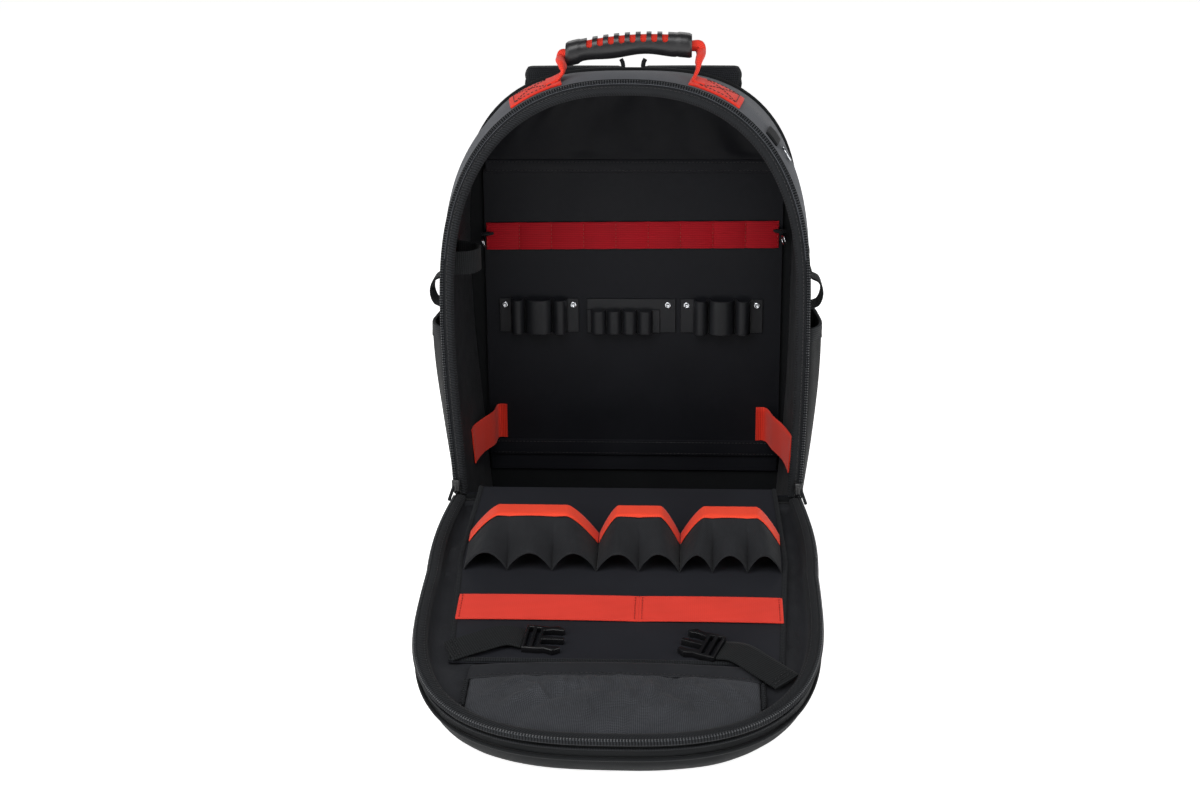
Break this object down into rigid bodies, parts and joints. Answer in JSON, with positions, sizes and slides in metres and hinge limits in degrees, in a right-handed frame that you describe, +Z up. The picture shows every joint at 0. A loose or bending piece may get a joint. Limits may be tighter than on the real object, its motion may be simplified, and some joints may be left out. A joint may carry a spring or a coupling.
{
  "type": "tool backpack",
  "caption": "Open tool backpack: an upright body with a tool board, loops and bands, and a front lid folded down with sleeves, straps and a mesh pocket.",
  "frame": {"origin": "centre of the body's flat underside, on the floor", "axes": "+Z up, +X to the right as the open bag is seen, -Y to the front where the lid lies folded down, +Y to the back that is worn"},
  "size_m": [0.4004, 0.6558, 0.557],
  "materials": {
    "black_cloth": "woven polyester, matt",
    "grey_cloth": "woven polyester, matt",
    "board_cloth": "smooth cloth laminated on a stiff sheet",
    "red_webbing": "woven webbing, matt",
    "black_rubber": "moulded, satin",
    "black_plastic": "moulded, satin",
    "steel": "plated, polished"
  },
  "bodies": {
    "root": {"front_sill": "black_cloth", "side_panel_left": "black_cloth", "side_panel_right": "black_cloth", "back_panel": "black_cloth", "opening_facing": "black_cloth", "upper_lining": "black_cloth", "side_pocket_left": "black_cloth", "side_pocket_right": "black_cloth", "side_loop_left": "black_cloth", "side_loop_right": "black_cloth", "shoulder_tab": "black_cloth", "inner_loop_left": "black_cloth", "back_pad_left": "black_cloth", "back_pad_right": "black_cloth", "shoulder_strap_left": "black_cloth", "shoulder_strap_right": "black_cloth", "strap_webbing_left": "black_cloth", "strap_webbing_right": "black_cloth", "lid_shell": "black_cloth", "lid_rim": "black_cloth", "lid_lining": "black_cloth", "sleeve_left": "black_cloth", "sleeve_middle": "black_cloth", "sleeve_right": "black_cloth", "lid_strap_left": "black_cloth", "lid_strap_right": "black_cloth", "pocket_hem": "black_cloth", "mesh_pocket": "black_cloth", "pocket_cord_left": "black_cloth", "pocket_cord_right": "black_cloth", "top_gusset": "grey_cloth", "tool_board": "board_cloth", "board_top_band": "board_cloth", "board_bottom_band": "board_cloth", "organiser_board": "board_cloth", "red_tool_band": "red_webbing", "side_band_left": "red_webbing", "side_band_right": "red_webbing", "handle_core": "red_webbing", "handle_webbing_left": "red_webbing", "handle_webbing_right": "red_webbing", "sleeve_trim_left": "red_webbing", "sleeve_trim_middle": "red_webbing", "sleeve_trim_right": "red_webbing", "red_band_left": "red_webbing", "red_band_right": "red_webbing", "base": "black_rubber", "handle_grip": "black_rubber", "tool_loops_left": "black_rubber", "tool_loops_right": "black_rubber", "tool_loops_middle_rear": "black_rubber", "tool_loops_middle_front": "black_rubber", "body_zip": "black_plastic", "zip_slider_left": "black_plastic", "zip_slider_right": "black_plastic", "strap_buckle_left": "black_plastic", "strap_buckle_right": "black_plastic", "lid_buckle_left": "black_plastic", "lid_buckle_right": "black_plastic", "shoulder_ring": "steel"}
  },
  "joints": []
}
